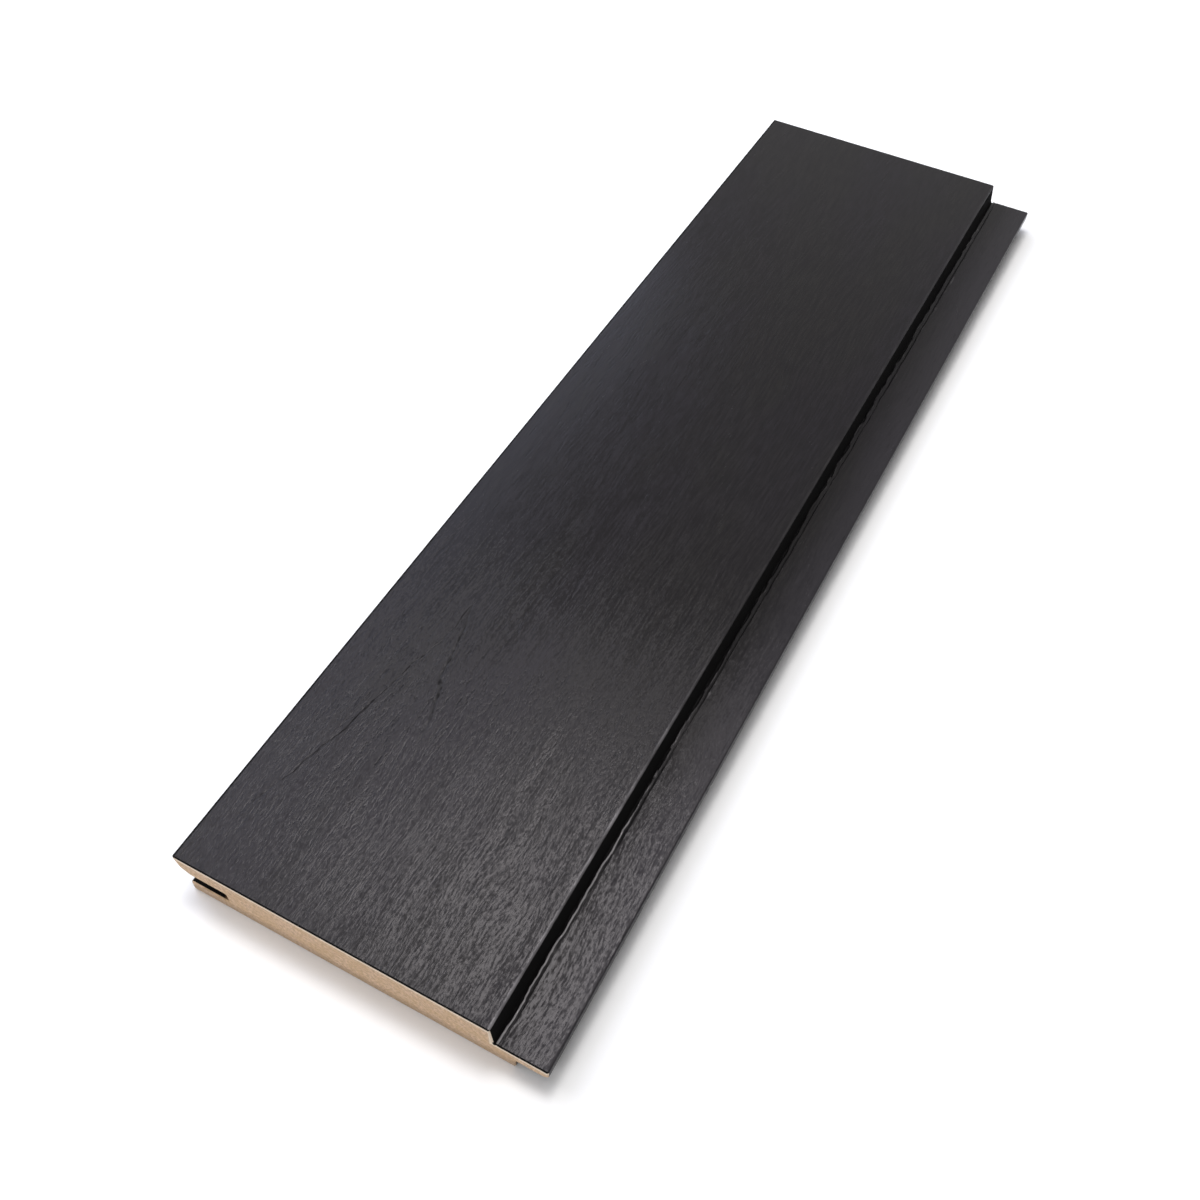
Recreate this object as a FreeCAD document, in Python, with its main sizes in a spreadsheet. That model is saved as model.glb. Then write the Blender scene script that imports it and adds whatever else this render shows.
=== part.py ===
"""Tongue and groove board: one planed length of solid wood, lying on its back.

Millimetres. The board runs along Y, its face is up (+Z), the tongue points to +X and
the groove opens to -X. The origin is the middle of the footprint, on the back.

The section is that of a shadow-gap board. When the tongue is pushed home in the next
board's groove, the next board's lower lip meets the shoulder under the tongue, and the
faces stay apart by the shadow gap, with the top of the tongue showing between them.
"""
import FreeCAD, Part
import os
import Sketcher

doc = FreeCAD.newDocument("TongueAndGrooveBoard")

# Driving dimensions
SIZES = {
    "overall_width": 115.0,         # groove-side arris to tongue tip
    "board_thickness": 16.0,
    "board_length": 400.0,
    "tongue_reach": 16.5,           # past the arris of the face
    "tongue_thickness": 4.2,
    "tongue_drop": 7.4,             # face down to the top of the tongue
    "shoulder_slant": 0.7,          # how far the shoulder leans out at its foot
    "tip_bevel_reach": 1.4,         # bevel under the tip, along the tongue
    "tip_bevel_rise": 1.0,          # and up the tip
    "shadow_gap": 3.7,              # between the faces of two joined boards
    "clearance_over_tongue": 0.3,   # slot to tongue, above
    "clearance_under_tongue": 0.2,  # slot to tongue, below
    "clearance_at_tip": 3.4,        # slot end to tongue tip, room for swelling
    "lower_lip_setback": 3.2,       # lower lip behind the arris of the face
    "lip_land": 1.2,                # upright strip below the arris of the upper lip
    "lip_slant": 1.4,               # how far the lip leans in below it, down to its nose
    "lead_in_reach": 3.0,           # bevel under the upper lip, into the slot
    "lead_in_rise": 1.8,            # and up the lip
    "face_arris_radius": 0.5,
    "lip_nose_radius": 0.8,
    "slot_corner_radius": 0.6,
    "tongue_edge_radius": 0.5,
    "root_radius": 0.5,             # inner corners above and below the tongue
    "back_arris_radius": 0.5,
}

sheet = doc.addObject("Spreadsheet::Sheet", "Sizes")
for row, (alias, value) in enumerate(SIZES.items(), start=1):
    sheet.set(f"A{row}", alias)
    sheet.set(f"B{row}", str(value))
    sheet.setAlias(f"B{row}", alias)
doc.recompute()

# Sizes that follow from the driving ones
SLOT_HEIGHT = "(Sizes.tongue_thickness + Sizes.clearance_over_tongue + Sizes.clearance_under_tongue)"
UPPER_LIP = "(Sizes.tongue_drop - Sizes.clearance_over_tongue)"
SLOT_REACH = "(Sizes.tongue_reach - Sizes.shadow_gap + Sizes.clearance_at_tip)"
UNDER_SHOULDER_REACH = "(Sizes.shadow_gap + Sizes.lower_lip_setback)"

# Corners of the section in order round it, clockwise from the groove-side arris, each with
# a rough place for the sketch to start from
CORNERS = {
    "groove_arris": (-57, 16),
    "tongue_arris": (41, 16),
    "shoulder_foot": (42, 9),
    "tongue_top_edge": (57, 9),
    "tip_bevel_start": (57, 6),
    "tip_bevel_end": (56, 4),
    "under_root": (48, 4),
    "back_tongue_side": (48, 0),
    "back_groove_side": (-54, 0),
    "lower_lip_mouth": (-54, 4),
    "slot_lower_corner": (-41, 4),
    "slot_upper_corner": (-41, 9),
    "lead_in_end": (-53, 9),
    "lip_nose": (-56, 11),
    "lip_land_foot": (-57, 15),
}
START = 1           # a line's start point, in the sketch's constraints
END = 2
HORIZONTAL_AXIS = -1
ORIGIN = (-1, START)


def origin_plane(body, role):
    return next(plane for plane in body.Origin.OriginFeatures if plane.Role == role)


def draw_outline(sketch, corners):
    """Join the corners with lines into a closed outline; return each corner's place in it."""
    points = [FreeCAD.Vector(across, up, 0) for across, up in corners.values()]
    count = len(points)
    for i in range(count):
        sketch.addGeometry(Part.LineSegment(points[i], points[(i + 1) % count]), False)
    for i in range(count):
        sketch.addConstraint(Sketcher.Constraint("Coincident", i, END, (i + 1) % count, START))
    return {name: (i, START) for i, name in enumerate(corners)}


def set_distance(sketch, direction, first, second, name, expression):
    """Drive the distance from the first point to the second by an expression."""
    index = sketch.addConstraint(Sketcher.Constraint(direction, *first, *second, 1.0))
    sketch.renameConstraint(index, name)
    sketch.setExpression(f"Constraints.{name}", expression)


def draw_section(body):
    """The board's cross section, which the moulder cuts along the whole length."""
    sketch = body.newObject("Sketcher::SketchObject", "Section")
    sketch.AttachmentSupport = [(origin_plane(body, "XZ_Plane"), "")]
    sketch.MapMode = "FlatFace"
    at = draw_outline(sketch, CORNERS)
    at["origin"] = ORIGIN

    level = ["groove_arris", "shoulder_foot", "tip_bevel_end", "back_tongue_side",
             "lower_lip_mouth", "slot_upper_corner"]
    upright = ["tongue_top_edge", "under_root", "back_groove_side", "slot_lower_corner",
               "lip_land_foot"]
    for name in level:
        sketch.addConstraint(Sketcher.Constraint("Horizontal", at[name][0]))
    for name in upright:
        sketch.addConstraint(Sketcher.Constraint("Vertical", at[name][0]))
    sketch.addConstraint(Sketcher.Constraint("PointOnObject", *at["back_groove_side"], HORIZONTAL_AXIS))

    across = [
        ("groove_arris", "origin", "half_width_left", "Sizes.overall_width / 2"),
        ("origin", "tongue_top_edge", "half_width_right", "Sizes.overall_width / 2"),
        ("tongue_arris", "tongue_top_edge", "tongue_reach", "Sizes.tongue_reach"),
        ("tongue_arris", "shoulder_foot", "shoulder_slant", "Sizes.shoulder_slant"),
        ("tip_bevel_end", "tip_bevel_start", "tip_bevel_reach", "Sizes.tip_bevel_reach"),
        ("tongue_arris", "under_root", "under_shoulder_reach", UNDER_SHOULDER_REACH),
        ("groove_arris", "back_groove_side", "lower_lip_setback", "Sizes.lower_lip_setback"),
        ("groove_arris", "slot_lower_corner", "slot_reach", SLOT_REACH),
        ("lip_land_foot", "lip_nose", "lip_slant", "Sizes.lip_slant"),
        ("lip_nose", "lead_in_end", "lead_in_reach", "Sizes.lead_in_reach"),
    ]
    up = [
        ("back_groove_side", "groove_arris", "thickness", "Sizes.board_thickness"),
        ("tongue_top_edge", "tongue_arris", "tongue_drop", "Sizes.tongue_drop"),
        ("tip_bevel_end", "tongue_top_edge", "tongue_thickness", "Sizes.tongue_thickness"),
        ("tip_bevel_end", "tip_bevel_start", "tip_bevel_rise", "Sizes.tip_bevel_rise"),
        ("lip_land_foot", "groove_arris", "lip_land", "Sizes.lip_land"),
        ("slot_upper_corner", "groove_arris", "upper_lip", UPPER_LIP),
        ("slot_lower_corner", "slot_upper_corner", "slot_height", SLOT_HEIGHT),
        ("lead_in_end", "lip_nose", "lead_in_rise", "Sizes.lead_in_rise"),
    ]
    for direction, distances in (("DistanceX", across), ("DistanceY", up)):
        for first, second, name, expression in distances:
            set_distance(sketch, direction, at[first], at[second], name, expression)
    doc.recompute()
    if not sketch.FullyConstrained:
        raise ValueError("the section is not fully constrained")
    return sketch, at


def pad_along_board(body, sketch):
    pad = body.newObject("PartDesign::Pad", "PlanedLength")
    pad.Profile = sketch
    pad.SideType = "Symmetric"
    pad.setExpression("Length", "Sizes.board_length")
    doc.recompute()
    return pad


def long_edge(feature, corner):
    """Name of the edge that runs along the board through a corner of the section."""
    for number, edge in enumerate(feature.Shape.Edges, start=1):
        if all(abs(v.X - corner.x) + abs(v.Z - corner.y) < 1e-4 for v in edge.Vertexes):
            return f"Edge{number}"
    raise ValueError("no long edge at this corner")


def round_corners(body, base, label, corners, radius):
    """Round the long edges at these corners of the section."""
    fillet = body.newObject("PartDesign::Fillet", label)
    fillet.Base = (base, [long_edge(base, corner) for corner in corners])
    fillet.setExpression("Radius", f"Sizes.{radius}")
    doc.recompute()
    return fillet


def make_board():
    body = doc.addObject("PartDesign::Body", "Board")
    body.Label = "board"
    sketch, at = draw_section(body)
    place = {name: sketch.getPoint(*spot) for name, spot in at.items()}
    feature = pad_along_board(body, sketch)
    rounded = [
        ("FaceArrises", ["groove_arris", "tongue_arris"], "face_arris_radius"),
        ("LipNose", ["lip_nose"], "lip_nose_radius"),
        ("SlotCorners", ["slot_lower_corner", "slot_upper_corner", "lower_lip_mouth"],
         "slot_corner_radius"),
        ("TongueEdge", ["tongue_top_edge"], "tongue_edge_radius"),
        ("RootCorners", ["shoulder_foot", "under_root"], "root_radius"),
        ("BackArrises", ["back_tongue_side", "back_groove_side"], "back_arris_radius"),
    ]
    for label, corners, radius in rounded:
        feature = round_corners(body, feature, label, [place[name] for name in corners], radius)
    return body


board = make_board()
doc.recompute()

for item in doc.Objects:
    if "Invalid" in item.State or "Error" in item.State:
        raise RuntimeError(f"{item.Label} failed: {item.State}")
if board.Shape.isNull() or not board.Shape.isValid():
    raise RuntimeError(f"{board.Label} has no valid solid")

os.makedirs("parts", exist_ok=True)
board.Shape.exportStep(f"parts/{board.Label}.step")
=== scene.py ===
import math

import bmesh
import bpy
import numpy as np
from mathutils import Matrix, Vector, noise


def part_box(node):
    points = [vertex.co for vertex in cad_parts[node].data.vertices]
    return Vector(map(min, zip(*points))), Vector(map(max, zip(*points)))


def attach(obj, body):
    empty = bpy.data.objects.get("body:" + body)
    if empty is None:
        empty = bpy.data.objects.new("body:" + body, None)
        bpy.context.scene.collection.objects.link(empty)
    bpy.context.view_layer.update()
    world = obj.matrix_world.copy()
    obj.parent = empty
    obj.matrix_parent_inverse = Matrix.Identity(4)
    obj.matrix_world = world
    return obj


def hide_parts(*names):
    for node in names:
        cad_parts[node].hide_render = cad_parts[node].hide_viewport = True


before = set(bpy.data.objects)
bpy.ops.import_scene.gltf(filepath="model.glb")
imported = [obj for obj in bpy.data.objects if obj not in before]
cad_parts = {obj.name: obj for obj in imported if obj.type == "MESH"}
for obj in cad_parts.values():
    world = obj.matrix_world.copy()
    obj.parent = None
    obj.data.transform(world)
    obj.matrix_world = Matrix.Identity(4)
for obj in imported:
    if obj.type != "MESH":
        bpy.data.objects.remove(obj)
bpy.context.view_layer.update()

# Tongue and groove board: black-stained wood with bare sawn ends. Metres, as the frame.
MM = 0.001
low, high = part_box("board")
FACE_Z = high.z
NEAR_Y = low.y
FAR_Y = high.y

# Landmarks of the section
FACE_LEVEL = FACE_Z - 1 * MM    # what is higher belongs to the face
ARRIS_FOOT = FACE_Z - 0.45 * MM
BELOW_SHOULDER = FACE_Z - 4 * MM
SHOULDER_X = 41.2 * MM
TONGUE_ROOT_X = 43.0 * MM
TONGUE_TOP = 8.6 * MM
TONGUE_MIDDLE = 5 * MM
BACK_LEVEL = 0.5 * MM           # what is lower belongs to the back
SLOT_END_X = -41.5 * MM         # deep in the board; the mouth is at its edge
SLOT_LOW = 4.0 * MM
SLOT_HIGH = 9.6 * MM
MATT_ARRIS = 0.7 * MM           # width of the rough arris over the slot

# How much a surface faces up, as the z of its normal
LEVEL = 0.95
NEARLY_LEVEL = 0.9
UPWARD = 0.5
TILTED = 0.2

# Mesh of the board
SAME_PLACE = 1e-6
FINE_STEP = 0.05 * MM           # along the outline, before the stations are chosen
EASE = 0.12 * MM                # softens the facets that the solid's curves have
PLAIN_SPACING = 1.1 * MM        # from one station to the next
BACK_SPACING = 3.0 * MM
TONGUE_SPACING = 0.5 * MM
ROOT_SPACING = 0.14 * MM
ROOT_REACH = 2.6 * MM
STATIONS_PER_RADIAN = 4
SPACING_BLUR = 0.3 * MM
ROW_STEP = 1.25 * MM            # along the board
SAWN_EDGE = 0.36 * MM           # broken fibres along the arrises of a cut end
SHARP_ANGLE = math.radians(35)
STAINED, BARE, RAW = range(3)   # the board's materials

# The torn line along the tongue's root, outward from the foot of the shoulder. Its sizes
# without a unit are in millimetres.
FOOT_INSET = 0.35 * MM          # the foot lies this far in from where the tongue is level
RAW_REACH = 0.35 * MM
TORN_WAVES = ((3, 0.30, 13 * MM), (4, 0.34, 4.2 * MM), (10, 0.22, 1.9 * MM))  # seed, size, length
MORE_TORN = 0.9                 # beyond the near end, as a share
MARKED_BEFORE_FOOT = 1 * MM
MARKED_BEYOND_FOOT = 4 * MM
GROOVE_WIDTH = 0.80
GROOVE_NARROWING = 0.35
GROOVE_SLOPE = (-0.16 * MM, 0.10 * MM)
GROOVE_DEPTH = 0.42
LIP_OFFSET = 0.34 * MM
LIP_WIDTH = 0.24 * MM
LIP_HEIGHT = 0.24
LIP_MEAN = 0.85                 # the lip gets stronger and weaker along the board
LIP_SWING = 0.9
LIP_SWING_LENGTH = 24 * MM
THIN_LINE_OFFSET = 1.85 * MM
THIN_LINE_TORN = 0.35           # as a share of how torn the groove's edge is
THIN_LINE_WIDTH = 0.22 * MM
THIN_LINE_DEPTH = 0.16
CRUSHED_OFFSET = 2.2 * MM
CRUSHED_WIDTH = 1.3 * MM
CRUSHED_ACROSS = 0.8 * MM       # size of its mottling
CRUSHED_ALONG = 2.6 * MM
CRUSHED_SWING = 0.5             # its tone, paler or darker
CRUSHED_SINK = 0.1              # and darker on the whole

# Relief of the wood: seed and size of each wave, in millimetres, and its length across and
# along the board. The face has slight ridges and the ripple that planer knives leave, and
# the tongue has crushed, coarse grain, which no planer has smoothed.
FACE_WAVES = ((1, 0.025, 7 * MM, 120 * MM), (2, 0.012, 1.8 * MM, 30 * MM))
TONGUE_WAVES = ((6, 0.05, 1.6 * MM, 14 * MM), (7, 0.035, 0.7 * MM, 6 * MM))
OTHER_WAVES = ((8, 0.015, 2 * MM, 40 * MM),)
RELIEF_BEFORE_FOOT = 0.1 * MM
WAVES_FULL_BEYOND_FOOT = 2.5 * MM

# The lifted lip is plain near one end only, where the grain is rough and the arris has a painted
# highlight
PLAIN_LIP_UNTIL_Y = -135.0 * MM
FAINT_LIP_FROM_Y = -112.0 * MM
FAINT_LIP_SHARE = 0.22
WIDE_GROOVE_UNTIL_Y = -90.0 * MM
NARROW_GROOVE_FROM_Y = 20.0 * MM
# Painted highlight along the arris above the tongue, brightest toward NEAR_Y
BRIGHT_ARRIS_UNTIL_Y = -150.0 * MM
DIM_ARRIS_FROM_Y = -60.0 * MM
ARRIS_HIGHLIGHT_MARK = 0.19
ARRIS_HIGHLIGHT_FADE = 0.10                # taken off that mark
ARRIS_HIGHLIGHT_WIDTH = 0.5 * MM           # inward from the arris
ARRIS_HIGHLIGHT_REACH = 1.0 * MM
ARRIS_HIGHLIGHT_SWING = 0.6
ARRIS_HIGHLIGHT_SWING_LENGTH = 5 * MM
ROUGH_UNTIL_Y = -120.0 * MM
SMOOTH_FROM_Y = -45.0 * MM
PLANED_SHARE = 0.28             # of the rough grain's depth
GRAIN_DEPTH = 0.1 * MM
RAW_GRAIN_DEPTH = 0.12 * MM
END_GRAIN_DEPTH = 0.08 * MM

# Growth rings: arches on the face, one of them plain, and arcs on the ends
ARCH_X = -31.5 * MM
ARCH_TOP_Y = -89.0 * MM
ARCH_POWER = 1.2                # a leg stands off by its spread times its length to this power
LEFT_SPREAD = 0.078             # with both lengths in millimetres
RIGHT_SPREAD = 0.12
ARCH_LEAN = 4.0                 # along the board, for each millimetre across, on a leg
ARCH_STEP = 75.0 * MM           # along the board, from one arch to the next
ARCH_BLEND = 1 * MM             # each side of the top, from the left leg's form to the right's
LEFT_LENGTH = 85.0 * MM         # down from the top of an arch, before its leg fades
RIGHT_LENGTH = 45.0 * MM
LEG_FADING = 10 * MM
PLAIN_ARCH = 0.8
FAINT_ARCH = 0.05
ARCH_LINE_WIDTH = 0.55 * MM
PITH_DEPTH = 42.0 * MM          # pith below the back
RING_SPACING = 2.6 * MM

# Stain fading out deep in the slot, and on the bare ends a painted highlight close under the
# stained faces and painted shade near the back
STAIN_FADES_X = -43.6 * MM
STAIN_GONE_X = -42.4 * MM
END_HIGHLIGHT_DEPTH = 1.0 * MM
END_HIGHLIGHT_REACH = 2.0 * MM
END_HIGHLIGHT_THINNING = 2.6             # behind the shoulder the painted highlight is so many times thinner
END_SHADE_UNTIL_Z = 1.5 * MM
END_SHADE_REACH_Z = 5.5 * MM

# Slow noises: size of a cell across and along the board, and reach each way
GRAIN_SWAY = ((30 * MM, 95 * MM, 5 * MM), (9 * MM, 30 * MM, 0.8 * MM))
ARCH_WOBBLE = ((14 * MM, 26 * MM, 3.5 * MM), (4 * MM, 7 * MM, 0.9 * MM))
RING_WOBBLE = ((12 * MM, 60 * MM, 1.5 * MM),)

# Fine noises: size of a cell across and along the board, detail and roughness
STREAK = (0.7 * MM, 10 * MM, 3.0, 0.6)
FIBRE = (0.5 * MM, 2.0 * MM, 2.0, 0.6)
PORES = (0.45 * MM, 6 * MM, 2.0, 0.5)
PEEL = (0.8 * MM, 0.9 * MM, 2.0, 0.6)
BAND = (3.0 * MM, 55 * MM, 2.0, 0.5)
STAIN_CLOUD = (26 * MM, 70 * MM, 2.0, 0.5)
BROKEN_ARCH = (6 * MM, 18 * MM, 1.0, 0.5)
RAW_FIBRE = (0.35 * MM, 5 * MM, 3.0, 0.6)
END_SPECK = (0.9 * MM, 20 * MM, 3.0, 0.6)
END_CLOUD = (4 * MM, 60 * MM, 3.0, 0.6)
END_DOTS = (0.9 * MM, 20 * MM, 1.0, 0.5)

# Colours of the stain
STAIN_PLUM = (0.0105, 0.0089, 0.0110)
STAIN_BROWN = (0.0106, 0.0095, 0.0092)
STAIN_DEEP = (0.0066, 0.0059, 0.0067)
# Painted reflection: the paler tone that the tongue takes toward its outer edge
TONGUE_PAINTED_SHEEN = (0.034, 0.031, 0.035)
STAIN_SHEEN = (1.0, 0.94, 0.965)
PORE_BLACK = (0.003, 0.003, 0.003)
LINE_BLACK = (0.0015, 0.0015, 0.0015)
# Painted shade in the groove and thin line at the tongue's root, also darker crushed fibres
SHADE_AND_CRUSH_BLACK = (0.002, 0.002, 0.002)
# Pale lifted fibres, also the painted highlight on the lip and on the arris above the tongue
PALE_FIBRE_AND_HIGHLIGHT = (0.33, 0.31, 0.315)
RAW_DARK = (0.0045, 0.0045, 0.0045)
RAW_LIGHT = (0.010, 0.0095, 0.0095)

# Colours of the bare wood
SLOT_WOOD = (0.26, 0.15, 0.085)
WOOD_DARK = (0.56, 0.385, 0.24)
WOOD_LIGHT = (0.88, 0.64, 0.46)
WOOD_CLOUD = (0.66, 0.45, 0.24)
WOOD_RING = (0.44, 0.28, 0.165)
# Painted highlight close under the stained faces of a cut end
WOOD_PAINTED_HIGHLIGHT = (0.95, 0.81, 0.65)
# Painted shade near the back of a cut end, where it meets the ground
WOOD_PAINTED_SHADE = (0.36, 0.26, 0.18)
WOOD_DOT = (0.16, 0.10, 0.06)

# White ground: the board's shadow shows out to one distance from the middle of the board,
# and from the other on the ground is plain white
GROUND_REACH = 3.0
GROUND_GAP = 0.02 * MM           # below the board
SHADED_REACH = 0.45
WHITE_FROM = 0.9
GROUND_SEEN = (1.0, 0.99, 0.985)
GROUND_LIT = (0.75, 0.75, 0.75)

# Surroundings: white to look at and in reflections, dimmer as light
WHITE = (1.0, 1.0, 1.0)
DIM_LIGHT = (0.2, 0.2, 0.205)

# Lamps: name, place, aim, width, height, brightness and tint
LAMPS = (
    ("key", (-0.18, 0.15, 1.0), (0, 0, 0), 0.40, 0.40, 9.8, WHITE),
    ("overhead", (0.0, 0.34, 1.05), (0, 0, 0), 0.8, 0.45, 2.0, WHITE),
    ("left_window", (-1.15, 0.2, 0.72), (0, 0, 0), 1.3, 0.7, 2.0, (0.95, 0.98, 1.1)),
    ("left_side", (-0.8, -0.2, 1.0), (0, -0.05, 0), 0.6, 0.6, 2.3, WHITE),
    ("left_back", (-0.84, 0.72, 1.0), (0, 0.72, 0), 1.45, 0.5, 2.4, (0.86, 0.95, 1.22)),
    ("front", (0.0, -1.4, 1.1), (0, 0, 0), 1.6, 0.6, 2.25, WHITE),
)

# Camera, fitted to the photograph's edges
CAMERA_PLACE = Vector((114.9, -288.5, 331.9)) * MM
CAMERA_HEADING = math.radians(117.35)
CAMERA_PITCH = math.radians(-51.99)
CAMERA_ROLL = math.radians(1.16)
CAMERA_LENS = 39.12
CAMERA_SENSOR = 36


def end_outline(node, y):
    """Corners of the node's section at one end, in order round it, as rows of x and z."""
    mesh = bmesh.new()
    mesh.from_mesh(node.data)
    bmesh.ops.remove_doubles(mesh, verts=mesh.verts, dist=SAME_PLACE)
    on_end = {v for v in mesh.verts if abs(v.co.y - y) < SAME_PLACE}
    rim = {}
    for edge in mesh.edges:
        caps = [face for face in edge.link_faces if all(v in on_end for v in face.verts)]
        if len(caps) == 1 and all(v in on_end for v in edge.verts):
            for v in edge.verts:
                rim.setdefault(v, []).append(edge.other_vert(v))
    first = min(rim, key=lambda v: (v.co.x, -v.co.z))
    loop = [first]
    before, here = None, first
    while True:
        onward = [v for v in rim[here] if v is not before]
        before, here = here, onward[0]
        if here is first:
            break
        loop.append(here)
    outline = np.array([(v.co.x, v.co.z) for v in loop])
    mesh.free()
    return outline


def clockwise(outline):
    x, z = outline.T
    area = 0.5 * np.sum(x * np.roll(z, -1) - np.roll(x, -1) * z)
    return outline[::-1] if area > 0 else outline


def smooth_round(values, step, sigma):
    """Gaussian smoothing of values sampled evenly round a closed loop."""
    frequency = np.fft.rfftfreq(len(values), d=step)
    kernel = np.exp(-2 * (math.pi * frequency * sigma) ** 2)
    return np.fft.irfft(np.fft.rfft(values) * kernel, n=len(values))


def section_stations(outline):
    """Points round the section, close where it turns or has relief, with outward normals."""
    closed = np.vstack([outline, outline[:1]])
    run = np.concatenate([[0], np.cumsum(np.linalg.norm(np.diff(closed, axis=0), axis=1))])
    count = int(run[-1] / FINE_STEP)
    step = run[-1] / count
    s = np.arange(count) * step
    x = smooth_round(np.interp(s, run, closed[:, 0]), step, EASE)
    z = smooth_round(np.interp(s, run, closed[:, 1]), step, EASE)
    dx = np.roll(x, -1) - np.roll(x, 1)
    dz = np.roll(z, -1) - np.roll(z, 1)
    length = np.hypot(dx, dz)
    normal_x, normal_z = -dz / length, dx / length
    heading = np.unwrap(np.arctan2(dz, dx))
    turn = np.abs(np.gradient(heading)) / step

    tongue = (normal_z > LEVEL) & (x > 0) & (z < FACE_LEVEL)
    foot_x = x[tongue].min() - FOOT_INSET
    spacing = np.full(count, PLAIN_SPACING)
    spacing[tongue] = TONGUE_SPACING
    spacing[tongue & (x < foot_x + ROOT_REACH)] = ROOT_SPACING
    spacing[(normal_z < -LEVEL) & (z < BACK_LEVEL)] = BACK_SPACING
    density = smooth_round(1 / spacing + turn * STATIONS_PER_RADIAN, step, SPACING_BLUR)
    total = np.concatenate([[0], np.cumsum(density * step)])
    stations = int(total[-1])
    at = np.interp(np.arange(stations) * total[-1] / stations, total, np.append(s, run[-1]))
    pick = np.round(at / step).astype(int) % count
    return x[pick], z[pick], normal_x[pick], normal_z[pick], foot_x


def wave(seed, x, y=0):
    """Smooth noise from -1 to 1, a different one for each seed."""
    seed_spacing = 17.3
    return noise.noise(Vector((x, y, seed * seed_spacing)))


def bell(distance, width):
    return math.exp(-(distance / width) ** 2)


def clip(value, least, most):
    return min(max(value, least), most)


def step_up(value, start, end):
    t = clip((value - start) / (end - start), 0, 1)
    return t * t * (3 - 2 * t)


def root_marks(out, y):
    """Groove, lip and thin line along the root of the tongue, each from 0 to 1.

    Out from the foot of the shoulder, the groove has a torn edge. A lip of fibres is lifted
    beside it, and a second, straighter and shallower line follows.
    """
    beyond = step_up(y, PLAIN_LIP_UNTIL_Y, FAINT_LIP_FROM_Y)
    torn = sum(size * wave(seed, y / length) for seed, size, length in TORN_WAVES)
    torn *= 1 + MORE_TORN * beyond
    width = GROOVE_WIDTH - GROOVE_NARROWING * step_up(y, WIDE_GROOVE_UNTIL_Y, NARROW_GROOVE_FROM_Y)
    edge = (width + torn) * MM
    groove = 1 - step_up(out, edge + GROOVE_SLOPE[0], edge + GROOVE_SLOPE[1])
    lip = bell(out - edge - LIP_OFFSET, LIP_WIDTH)
    line = bell(out - THIN_LINE_OFFSET - THIN_LINE_TORN * torn * MM, THIN_LINE_WIDTH)
    strength = LIP_MEAN + LIP_SWING * wave(5, y / LIP_SWING_LENGTH)
    share = 1 - (1 - FAINT_LIP_SHARE) * beyond
    return groove, lip * share * clip(strength, 0.2, 1), line * clip(1.5 - strength, 0.4, 1)


def crushed_mark(out, y):
    """Mottling of the crushed fibres beside the torn line: above zero is paler, below darker."""
    patches = CRUSHED_SWING * wave(11, out / CRUSHED_ACROSS, y / CRUSHED_ALONG) - CRUSHED_SINK
    return patches * bell(out - CRUSHED_OFFSET, CRUSHED_WIDTH)


def arris_highlight(inward, y):
    """Painted highlight on the arris above the tongue, and beside it on the face, as how much paler the
    stain is made there.
    """
    highlight = ARRIS_HIGHLIGHT_MARK - ARRIS_HIGHLIGHT_FADE * step_up(y, BRIGHT_ARRIS_UNTIL_Y, DIM_ARRIS_FROM_Y)
    uneven = 1 + ARRIS_HIGHLIGHT_SWING * wave(9, y / ARRIS_HIGHLIGHT_SWING_LENGTH)
    return highlight * (1 - step_up(inward, ARRIS_HIGHLIGHT_WIDTH, ARRIS_HIGHLIGHT_REACH)) * uneven


def surface_mark(x, z, normal_z, foot_x, arris_x, y):
    """Mark that the stain takes its tone from: above zero paler, for lifted and crushed fibres and a
    painted highlight; below zero darker, for painted shade in the groove and thin line and for crushed
    fibres.
    """
    out = x - foot_x
    near_root = foot_x - MARKED_BEFORE_FOOT < x < foot_x + MARKED_BEYOND_FOOT
    if normal_z > UPWARD and near_root and z < BELOW_SHOULDER:
        groove, lip, line = root_marks(out, y)
        return lip - line - groove + crushed_mark(out, y)
    if x > arris_x - ARRIS_HIGHLIGHT_REACH and z > ARRIS_FOOT:
        return arris_highlight(arris_x - x, y)
    return 0


def root_relief(out, y):
    groove, lip, line = root_marks(out, y)
    return (-GROOVE_DEPTH * groove + LIP_HEIGHT * lip - THIN_LINE_DEPTH * line) * MM


def wavy(waves, across, y):
    """Height of a sum of waves, in metres."""
    return MM * sum(size * wave(seed, across / width, y / length)
                    for seed, size, width, length in waves)


def relief(x, z, normal_z, foot_x, y):
    """How far the surface stands out from the solid, along its normal."""
    if normal_z > NEARLY_LEVEL and z > FACE_LEVEL:
        return wavy(FACE_WAVES, x, y)
    if normal_z > NEARLY_LEVEL and x > foot_x - RELIEF_BEFORE_FOOT:
        out = x - foot_x
        grown = step_up(out, 0, WAVES_FULL_BEYOND_FOOT)
        return wavy(TONGUE_WAVES, x, y) * grown + root_relief(out, y)
    return wavy(OTHER_WAVES, x + z, y)


def is_raw(x, z, normal_z, foot_x):
    """Whether the cutter left the surface rough and matt: shoulder, slot and thin arris."""
    shoulder = 0 < x < foot_x + RAW_REACH and TONGUE_MIDDLE < z < ARRIS_FOOT
    slot = x < SLOT_END_X and SLOT_LOW < z < SLOT_HIGH
    arris = x < low.x + MATT_ARRIS and normal_z > TILTED and z > FACE_LEVEL
    return shoulder or slot or arris


def is_stained_edge(x, z, normal_z):
    """Whether the stain reaches the broken fibres at a cut end: above, but not in the slot."""
    return normal_z > UPWARD and (x > 0 or not SLOT_LOW < z < SLOT_HIGH)


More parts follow.
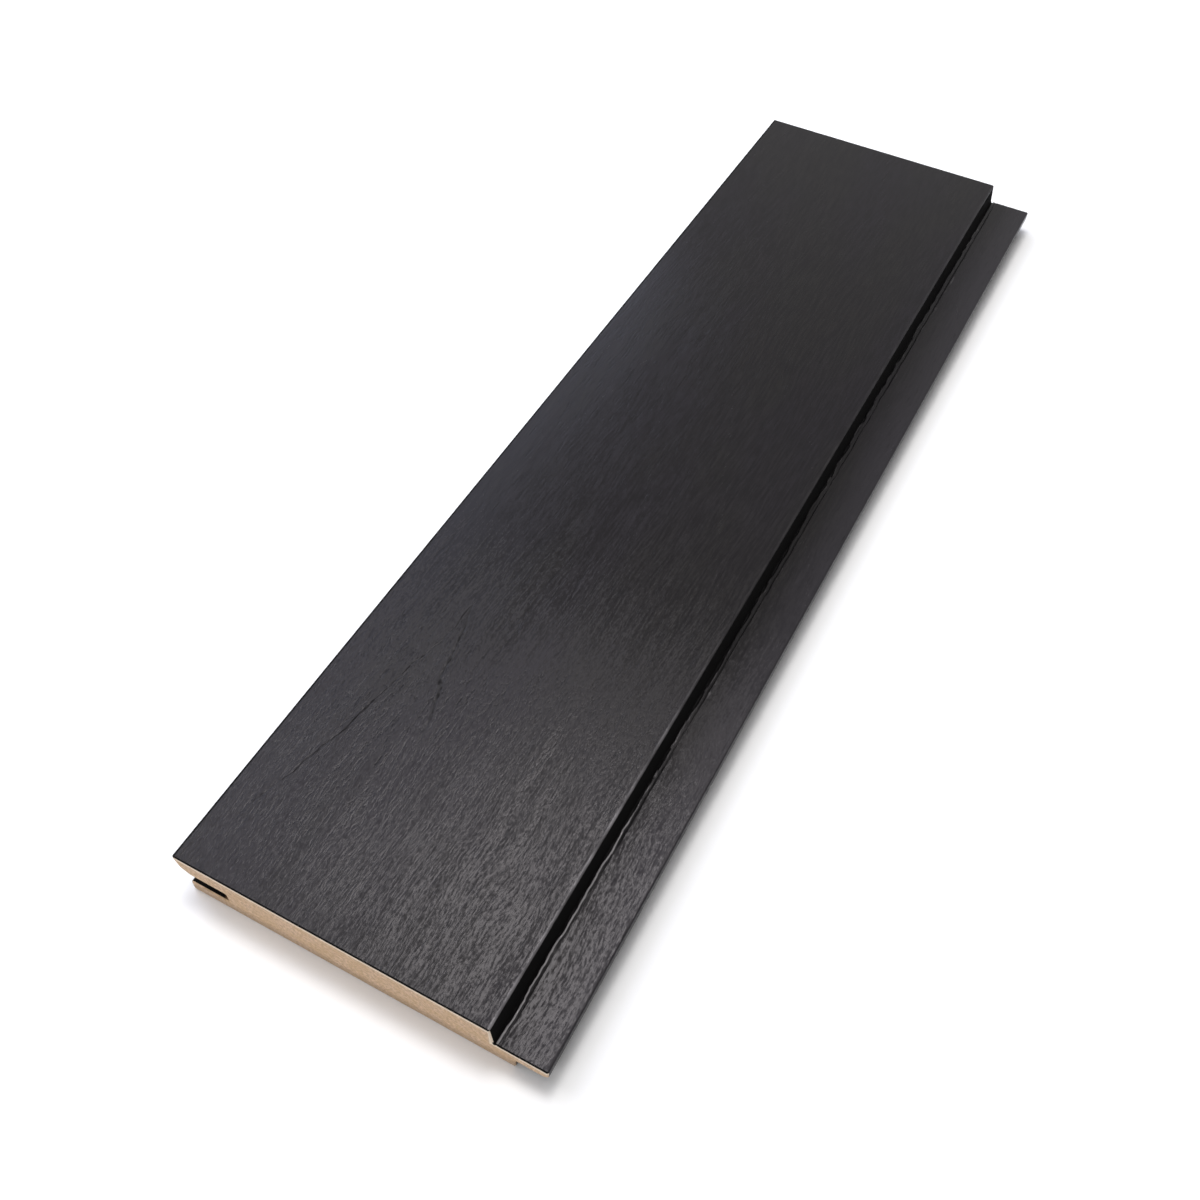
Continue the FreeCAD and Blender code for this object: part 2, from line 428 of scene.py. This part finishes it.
def board_mesh():
    """Skin of the board: the solid's own section, carried along it with the wood's relief."""
    outline = clockwise(end_outline(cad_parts["board"], NEAR_Y))
    x, z, normal_x, normal_z, foot_x = section_stations(outline)
    around = len(x)
    arris_x = x[(x > 0) & (z > ARRIS_FOOT)].max()
    on_side = [RAW if is_raw(x[i], z[i], normal_z[i], foot_x) else STAINED for i in range(around)]
    on_edge = [RAW if is_stained_edge(x[i], z[i], normal_z[i]) else BARE for i in range(around)]

    mesh = bmesh.new()
    mark = mesh.verts.layers.float.new("root_mark")
    rings = []
    rows = round((FAR_Y - NEAR_Y) / ROW_STEP)
    for y in np.linspace(NEAR_Y + SAWN_EDGE, FAR_Y - SAWN_EDGE, rows):
        ring = []
        for i in range(around):
            out = relief(x[i], z[i], normal_z[i], foot_x, y)
            place = (x[i] + normal_x[i] * out, y, max(z[i] + normal_z[i] * out, 0))
            vert = mesh.verts.new(place)
            vert[mark] = surface_mark(x[i], z[i], normal_z[i], foot_x, arris_x, y)
            ring.append(vert)
        rings.append(ring)
    near_end, far_end = (
        [mesh.verts.new((v.co.x - normal_x[i] * SAWN_EDGE, end_y, v.co.z - normal_z[i] * SAWN_EDGE))
         for i, v in enumerate(beside)]
        for end_y, beside in ((NEAR_Y, rings[0]), (FAR_Y, rings[-1]))
    )
    rings = [near_end, *rings, far_end]

    for j, (ring, onward) in enumerate(zip(rings, rings[1:])):
        cut = j in (0, len(rings) - 2)
        for i in range(around):
            k = (i + 1) % around
            face = mesh.faces.new((ring[i], onward[i], onward[k], ring[k]))
            face.material_index = on_edge[i] if cut else on_side[i]
            face.smooth = not cut
    for ring in (near_end, far_end[::-1]):
        face = mesh.faces.new(ring)
        face.material_index = BARE
        face.smooth = False
    bmesh.ops.recalc_face_normals(mesh, faces=mesh.faces)
    data = bpy.data.meshes.new("board_skin")
    mesh.to_mesh(data)
    mesh.free()
    data.set_sharp_from_angle(angle=SHARP_ANGLE)
    return data


def put(tree, kind, settings=None, inputs=None):
    """Add a node. An input given as a socket is linked, and any other value is set."""
    made = tree.nodes.new(kind)
    for name, value in (settings or {}).items():
        setattr(made, name, value)
    for name, value in (inputs or {}).items():
        if isinstance(value, bpy.types.NodeSocket):
            tree.links.new(value, made.inputs[name])
        else:
            made.inputs[name].default_value = value
    return made


def calc(tree, operation, *values):
    return put(tree, "ShaderNodeMath", {"operation": operation}, dict(enumerate(values))).outputs[0]


def weighted(tree, *terms):
    """Sum of values, each times its weight."""
    total = 0.0
    for value, weight in terms:
        total = calc(tree, "MULTIPLY_ADD", value, weight, total)
    return total


def remap(tree, value, from_low, from_high, to_low=0.0, to_high=1.0):
    made = put(tree, "ShaderNodeMapRange", {"interpolation_type": "SMOOTHSTEP"}, {
        "Value": value, "From Min": from_low, "From Max": from_high,
        "To Min": to_low, "To Max": to_high})
    return made.outputs["Result"]


def mix_colors(tree, factor, first, second):
    made = put(tree, "ShaderNodeMix", {"data_type": "RGBA"}, {"Factor": factor})
    for socket, value in ((made.inputs[6], first), (made.inputs[7], second)):
        if isinstance(value, bpy.types.NodeSocket):
            tree.links.new(value, socket)
        else:
            socket.default_value = (*value, 1)
    return made.outputs[2]


def layered(tree, tone, *layers):
    """The tone under layers of colour, each with the share that it covers."""
    for share, color in layers:
        tone = mix_colors(tree, share, tone, color)
    return tone


def grain_noise(tree, place, across, along, detail, roughness):
    """Noise stretched along the board, with cells of these sizes across and along."""
    stretched = put(tree, "ShaderNodeVectorMath", {"operation": "MULTIPLY"},
                    {0: place, 1: (1 / across, 1 / along, 1 / across)})
    made = put(tree, "ShaderNodeTexNoise", {}, {
        "Vector": stretched.outputs[0], "Scale": 1.0, "Detail": detail, "Roughness": roughness})
    return made.outputs["Fac"]


def slow_noise(tree, place, noises):
    """Sum of slow noises about zero, in metres."""
    total = 0.0
    for across, along, reach in noises:
        value = calc(tree, "SUBTRACT", grain_noise(tree, place, across, along, 2.0, 0.5), 0.5)
        total = calc(tree, "MULTIPLY_ADD", value, 2 * reach, total)
    return total


def swayed(tree, place):
    """The place moved across by slow noise, so that what is drawn along it runs like grain."""
    shift = put(tree, "ShaderNodeCombineXYZ", {}, {"X": slow_noise(tree, place, GRAIN_SWAY)})
    moved = put(tree, "ShaderNodeVectorMath", {"operation": "ADD"}, {0: place, 1: shift.outputs[0]})
    return moved.outputs[0]


def arch_lines(tree, place, split):
    """Thin lines where growth rings cut the face: nested arches, the first one plain."""
    across = calc(tree, "ADD", calc(tree, "SUBTRACT", split["X"], ARCH_X),
                  slow_noise(tree, place, ARCH_WOBBLE))
    below_top = calc(tree, "SUBTRACT", ARCH_TOP_Y, split["Y"])
    spread = remap(tree, across, -ARCH_BLEND, ARCH_BLEND, LEFT_SPREAD, RIGHT_SPREAD)
    width = calc(tree, "DIVIDE", calc(tree, "ABSOLUTE", calc(tree, "DIVIDE", across, MM)), spread)
    leg = calc(tree, "MULTIPLY", calc(tree, "POWER", width, 1 / ARCH_POWER), MM)
    inside = calc(tree, "SUBTRACT", below_top, leg)
    number = calc(tree, "ROUND", calc(tree, "DIVIDE", inside, ARCH_STEP))
    off = calc(tree, "ABSOLUTE", calc(tree, "MULTIPLY_ADD", number, -ARCH_STEP, inside))
    line = remap(tree, calc(tree, "DIVIDE", off, ARCH_LEAN),
                 0.25 * ARCH_LINE_WIDTH, ARCH_LINE_WIDTH, 1.0, 0.0)
    first = calc(tree, "COMPARE", number, 0.0, 0.1)
    broken = remap(tree, grain_noise(tree, place, *BROKEN_ARCH), 0.25, 0.45, 0.4, 1.0)
    length = remap(tree, across, -ARCH_BLEND, ARCH_BLEND, LEFT_LENGTH, RIGHT_LENGTH)
    fading = remap(tree, calc(tree, "SUBTRACT", below_top, length),
                   -LEG_FADING, LEG_FADING, PLAIN_ARCH, 0.0)
    strength = calc(tree, "MULTIPLY", calc(tree, "MULTIPLY_ADD", first, fading, FAINT_ARCH), broken)
    return calc(tree, "MULTIPLY", line, strength)


def end_rings(tree, place, split):
    """Faint growth rings on a cut end, as arcs about the pith."""
    across = calc(tree, "ADD", calc(tree, "SUBTRACT", split["X"], ARCH_X),
                  slow_noise(tree, place, RING_WOBBLE))
    depth = calc(tree, "ADD", split["Z"], PITH_DEPTH)
    radius = calc(tree, "SQRT", calc(tree, "ADD", calc(tree, "MULTIPLY", across, across),
                                     calc(tree, "MULTIPLY", depth, depth)))
    return calc(tree, "FRACT", calc(tree, "DIVIDE", radius, RING_SPACING))


def new_material(name):
    """A material, its node tree, and the place on the object that its patterns follow."""
    material = bpy.data.materials.new(name)
    material.use_nodes = True
    tree = material.node_tree
    tree.nodes.clear()
    return material, tree, put(tree, "ShaderNodeTexCoord").outputs["Object"]


def axes(tree, place):
    return put(tree, "ShaderNodeSeparateXYZ", {}, {0: place}).outputs


def finish_material(tree, base, roughness, height, relief_depth, specular, tint=WHITE):
    bump = put(tree, "ShaderNodeBump", {}, {
        "Strength": 1.0, "Distance": relief_depth, "Height": height})
    shader = put(tree, "ShaderNodeBsdfPrincipled", {}, {
        "Base Color": base, "Roughness": roughness, "Normal": bump.outputs[0],
        "Specular IOR Level": specular, "Specular Tint": (*tint, 1)})
    put(tree, "ShaderNodeOutputMaterial", {}, {"Surface": shader.outputs[0]})


def stained_wood():
    """Thin black stain with a satin sheen, over planed wood whose grain still shows."""
    material, tree, place = new_material("black_stain")
    split = axes(tree, place)
    along_grain = swayed(tree, place)
    streak = grain_noise(tree, along_grain, *STREAK)
    fibre = grain_noise(tree, along_grain, *FIBRE)
    pores = remap(tree, grain_noise(tree, along_grain, *PORES), 0.60, 0.72)
    peel = grain_noise(tree, place, *PEEL)
    band = grain_noise(tree, along_grain, *BAND)
    cloud = grain_noise(tree, place, *STAIN_CLOUD)
    lines = arch_lines(tree, place, split)
    mark = put(tree, "ShaderNodeAttribute", {"attribute_name": "root_mark"}).outputs["Fac"]
    depth = remap(tree, split["Y"], ROUGH_UNTIL_Y, SMOOTH_FROM_Y, 1.0, PLANED_SHARE)
    # Paler for lifted and crushed fibres, with a painted highlight on the lip and arris that fades with
    # the sheen away from NEAR_Y
    lifted = calc(tree, "MULTIPLY", remap(tree, mark, 0.0, 0.5), depth)
    # Darker as painted shade in the groove and thin line, and on crushed fibres
    sunk = remap(tree, mark, -0.05, -0.9)
    # Painted reflection: the tongue grows paler toward its outer edge
    outward = remap(tree, split["X"], TONGUE_ROOT_X, high.x, 0.0, 0.45)

    light = mix_colors(tree, remap(tree, cloud, 0.35, 0.65), STAIN_PLUM, STAIN_BROWN)
    tone = mix_colors(tree, remap(tree, streak, 0.3, 0.7), STAIN_DEEP, light)
    tone = layered(tree, tone,
                   (outward, TONGUE_PAINTED_SHEEN),
                   (calc(tree, "MULTIPLY", pores, 0.35), PORE_BLACK),
                   (calc(tree, "MULTIPLY", lines, 0.9), LINE_BLACK),
                   (lifted, PALE_FIBRE_AND_HIGHLIGHT),
                   (sunk, SHADE_AND_CRUSH_BLACK))

    matt = weighted(tree, (fibre, 0.44), (streak, 0.38), (peel, 0.18), (band, 0.14))
    matt = remap(tree, matt, 0.48, 0.69, -0.085, 0.42)
    roughness = calc(tree, "MULTIPLY_ADD", matt, depth, 0.15)
    roughness = calc(tree, "MULTIPLY_ADD", lines, 0.4, roughness)
    roughness = calc(tree, "MULTIPLY_ADD", sunk, 0.5, roughness)
    height = weighted(tree, (streak, 0.7), (fibre, 0.7), (peel, 0.2), (pores, -0.25))
    height = calc(tree, "MULTIPLY_ADD", lines, -0.5, calc(tree, "MULTIPLY", height, depth))
    finish_material(tree, tone, roughness, height, GRAIN_DEPTH, 0.15, STAIN_SHEEN)
    return material


def raw_black():
    """Matt stained wood where the cutter went; the stain fades out deep in the slot."""
    material, tree, place = new_material("raw_black")
    split = axes(tree, place)
    fibre = grain_noise(tree, place, *RAW_FIBRE)
    deep = remap(tree, split["X"], STAIN_FADES_X, STAIN_GONE_X)
    in_slot = calc(tree, "MULTIPLY", calc(tree, "LESS_THAN", split["X"], SLOT_END_X),
                   calc(tree, "LESS_THAN", split["Z"], SLOT_HIGH))
    tone = mix_colors(tree, fibre, RAW_DARK, RAW_LIGHT)
    tone = layered(tree, tone, (calc(tree, "MULTIPLY", deep, in_slot), SLOT_WOOD))
    finish_material(tree, tone, 0.85, fibre, RAW_GRAIN_DEPTH, 0.03)
    return material


def bare_wood():
    """Sawn end grain: tan and speckled, with a painted highlight below the stained faces and painted
    shade near the back.
    """
    material, tree, place = new_material("bare_end_grain")
    split = axes(tree, place)
    speck = grain_noise(tree, place, *END_SPECK)
    cloud = grain_noise(tree, place, *END_CLOUD)
    rings = end_rings(tree, place, split)
    dots = remap(tree, grain_noise(tree, place, *END_DOTS), 0.74, 0.80)
    below_face = calc(tree, "SUBTRACT", FACE_Z, split["Z"])
    behind_shoulder = calc(tree, "MULTIPLY", calc(tree, "SUBTRACT", SHOULDER_X, split["X"]),
                           END_HIGHLIGHT_THINNING)
    below_tongue = calc(tree, "SUBTRACT", TONGUE_TOP, split["Z"])
    below_stain = calc(tree, "MINIMUM", below_face,
                       calc(tree, "MAXIMUM", behind_shoulder, below_tongue))

    tone = mix_colors(tree, remap(tree, speck, 0.32, 0.68), WOOD_DARK, WOOD_LIGHT)
    tone = layered(tree, tone,
                   (remap(tree, cloud, 0.35, 0.65, 0.0, 0.45), WOOD_CLOUD),
                   (remap(tree, rings, 0.55, 1.0, 0.0, 0.22), WOOD_RING),
                   # Painted highlight close under the stained faces
                   (remap(tree, below_stain, END_HIGHLIGHT_DEPTH, END_HIGHLIGHT_REACH, 0.85, 0.0), WOOD_PAINTED_HIGHLIGHT),
                   # Painted shade near the back
                   (remap(tree, split["Z"], END_SHADE_UNTIL_Z, END_SHADE_REACH_Z, 0.45, 0.0), WOOD_PAINTED_SHADE),
                   (calc(tree, "MULTIPLY", dots, 0.5), WOOD_DOT))
    finish_material(tree, tone, 0.75, speck, END_GRAIN_DEPTH, 0.25)
    return material


def add_object(name, data):
    made = bpy.data.objects.new(name, data)
    bpy.context.scene.collection.objects.link(made)
    return made


def make_board():
    board = add_object("board_skin", board_mesh())
    board.data.materials.append(stained_wood())
    board.data.materials.append(bare_wood())
    board.data.materials.append(raw_black())
    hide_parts("board")
    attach(board, "root")


def make_floor():
    """White ground that the board lies on: white to the camera, plain to the light it returns.

    Far from the board the camera sees it glow white, which lights nothing else.
    """
    data = bpy.data.meshes.new("floor")
    corners = [(x * GROUND_REACH, y * GROUND_REACH, 0) for x, y in ((-1, -1), (1, -1), (1, 1), (-1, 1))]
    data.from_pydata(corners, [], [(0, 1, 2, 3)])
    floor = add_object("floor", data)
    floor.location.z = -GROUND_GAP
    material, tree, place = new_material("floor_white")
    seen = put(tree, "ShaderNodeLightPath").outputs["Is Camera Ray"]
    tone = mix_colors(tree, seen, GROUND_LIT, GROUND_SEEN)
    lit = put(tree, "ShaderNodeBsdfDiffuse", {}, {"Color": tone})
    glow = put(tree, "ShaderNodeEmission", {}, {"Color": (*WHITE, 1), "Strength": 1.0})
    away = put(tree, "ShaderNodeVectorMath", {"operation": "LENGTH"}, {0: place}).outputs["Value"]
    plain = calc(tree, "MULTIPLY", seen, remap(tree, away, SHADED_REACH, WHITE_FROM))
    shader = put(tree, "ShaderNodeMixShader", {}, {0: plain, 1: lit.outputs[0], 2: glow.outputs[0]})
    put(tree, "ShaderNodeOutputMaterial", {}, {"Surface": shader.outputs[0]})
    data.materials.append(material)


def make_world():
    world = bpy.data.worlds.new("studio")
    bpy.context.scene.world = world
    world.use_nodes = True
    tree = world.node_tree
    tree.nodes.clear()
    path = put(tree, "ShaderNodeLightPath").outputs
    shown = calc(tree, "MAXIMUM", path["Is Camera Ray"],
                 calc(tree, "MAXIMUM", path["Is Glossy Ray"], path["Is Transmission Ray"]))
    tone = mix_colors(tree, shown, DIM_LIGHT, WHITE)
    sky = put(tree, "ShaderNodeBackground", {}, {"Color": tone, "Strength": 1.0})
    put(tree, "ShaderNodeOutputWorld", {}, {"Surface": sky.outputs[0]})


def make_lamp(name, place, aim, width, height, brightness, tint):
    """Rectangular lamp that faces a point; a brightness of 1 looks as bright as white paper."""
    lamp = bpy.data.lights.new(name, "AREA")
    lamp.shape = "RECTANGLE"
    lamp.size = width
    lamp.size_y = height
    lamp.energy = brightness * math.pi * width * height
    lamp.color = tint
    made = add_object(name, lamp)
    made.location = place
    made.rotation_euler = (Vector(place) - Vector(aim)).to_track_quat("Z", "Y").to_euler()


def make_camera():
    data = bpy.data.cameras.new("camera")
    data.sensor_width = CAMERA_SENSOR
    data.lens = CAMERA_LENS
    camera = add_object("camera", data)
    forward = Vector((math.cos(CAMERA_PITCH) * math.cos(CAMERA_HEADING),
                      math.cos(CAMERA_PITCH) * math.sin(CAMERA_HEADING), math.sin(CAMERA_PITCH)))
    right = forward.cross(Vector((0, 0, 1))).normalized()
    up = right.cross(forward)
    turned_right = math.cos(CAMERA_ROLL) * right + math.sin(CAMERA_ROLL) * up
    turned_up = math.cos(CAMERA_ROLL) * up - math.sin(CAMERA_ROLL) * right
    rotation = Matrix((turned_right, turned_up, -forward)).transposed()
    camera.matrix_world = Matrix.Translation(CAMERA_PLACE) @ rotation.to_4x4()
    bpy.context.scene.camera = camera


make_board()
make_floor()
make_world()
for lamp_values in LAMPS:
    make_lamp(*lamp_values)
make_camera()
bpy.context.scene.view_settings.view_transform = "Standard"
